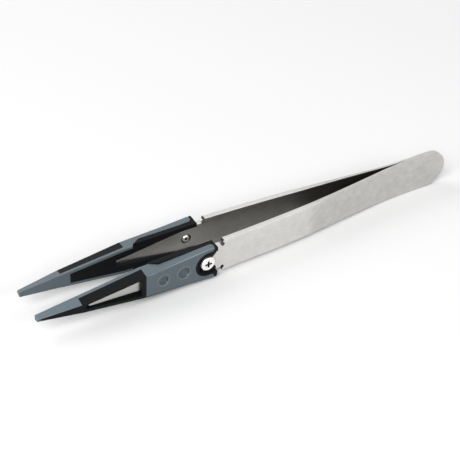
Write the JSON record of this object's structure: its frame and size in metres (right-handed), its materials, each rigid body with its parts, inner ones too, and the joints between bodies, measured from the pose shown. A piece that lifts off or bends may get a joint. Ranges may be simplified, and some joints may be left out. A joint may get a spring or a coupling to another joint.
{
  "type": "tweezers with exchangeable plastic tips",
  "caption": "Precision tweezers with two sprung steel blades welded at the tail and slip-on two-part plastic tips held by small screws.",
  "frame": {"origin": "middle of the length and of the opening, on the surface that the tweezers lie on", "axes": "+X towards the welded tail, the tips point to -X, Y is the direction of opening with the left arm at -Y, +Z is the width of the blades"},
  "size_m": [0.13, 0.0154, 0.0118],
  "materials": {
    "blade_steel": "satin, brushed across",
    "core_plastic": "fine matt, carbon filled",
    "grip_plastic": "fine matt",
    "screw_steel": "satin"
  },
  "bodies": {
    "blades": {"left_blade": "blade_steel", "right_blade": "blade_steel"},
    "left_tip": {"left_tip_core": "core_plastic", "left_tip_grip": "grip_plastic", "left_screw": "screw_steel"},
    "right_tip": {"right_tip_core": "core_plastic", "right_tip_grip": "grip_plastic", "right_screw": "screw_steel"}
  },
  "joints": [
    {"name": "left_arm_flex", "type": "hinge", "parent": "blades", "child": "left_tip", "pos_m": [0.043, -0.00084, 0.00592], "axis": [0, 0, -1], "range_deg": [0, 2.44], "stiffness_Nm_per_rad": 1.2, "deforming": ["left_blade"]},
    {"name": "right_arm_flex", "type": "hinge", "parent": "blades", "child": "right_tip", "pos_m": [0.043, 0.00084, 0.00592], "axis": [0, 0, 1], "range_deg": [0, 2.44], "stiffness_Nm_per_rad": 1.2, "deforming": ["right_blade"]}
  ]
}
